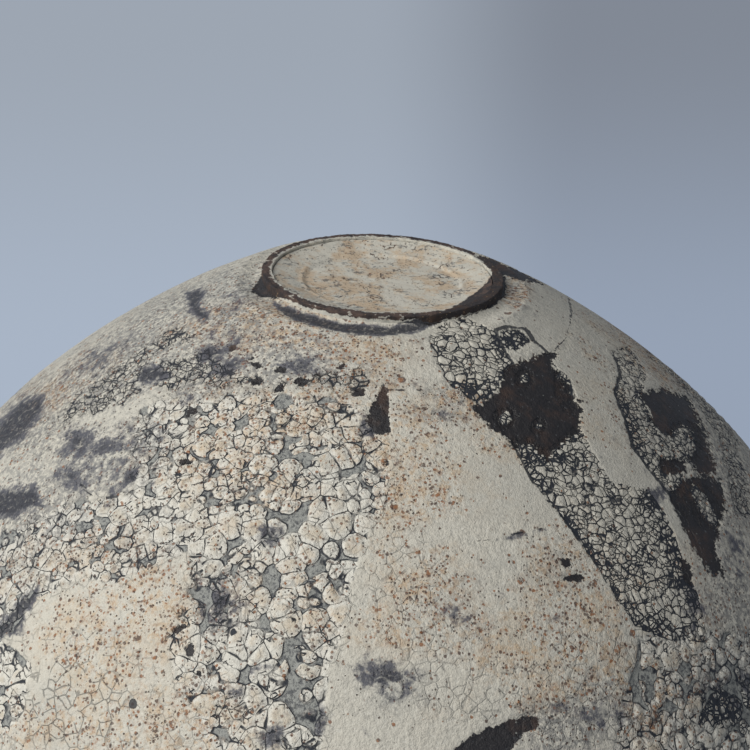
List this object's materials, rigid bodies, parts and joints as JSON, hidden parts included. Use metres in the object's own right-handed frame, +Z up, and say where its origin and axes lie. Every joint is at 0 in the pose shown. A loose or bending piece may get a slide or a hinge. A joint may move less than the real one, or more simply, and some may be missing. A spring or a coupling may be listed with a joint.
{
  "type": "moon jar",
  "caption": "Round full-bellied stoneware jar thrown as two joined bowls, with a low turned foot ring, a short flared collar and a thick crackled slip coat.",
  "frame": {"origin": "centre of the plane that the foot ring stands on", "axes": "+Z up along the throwing axis, from the foot ring to the collar; the jar is turned, so X and Y are any two directions square to it. The pictured side faces -Y, and the picture shows the jar standing on its collar."},
  "size_m": [0.32, 0.32, 0.3201],
  "materials": {
    "dark_clay": "bare dark brown stoneware clay, matt, faint turning lines",
    "cream_slip": "dry matt cream slip, crackled over dark clay, with rust specks"
  },
  "bodies": {
    "root": {"foot_ring": "dark_clay", "lower_bowl": "dark_clay", "upper_bowl": "dark_clay", "luting_seam": "dark_clay", "seam_coil": "dark_clay", "neck_collar": "dark_clay", "lower_slip_coat": "cream_slip", "upper_slip_coat": "cream_slip", "foot_well_slip": "cream_slip", "collar_slip": "cream_slip"}
  },
  "joints": []
}
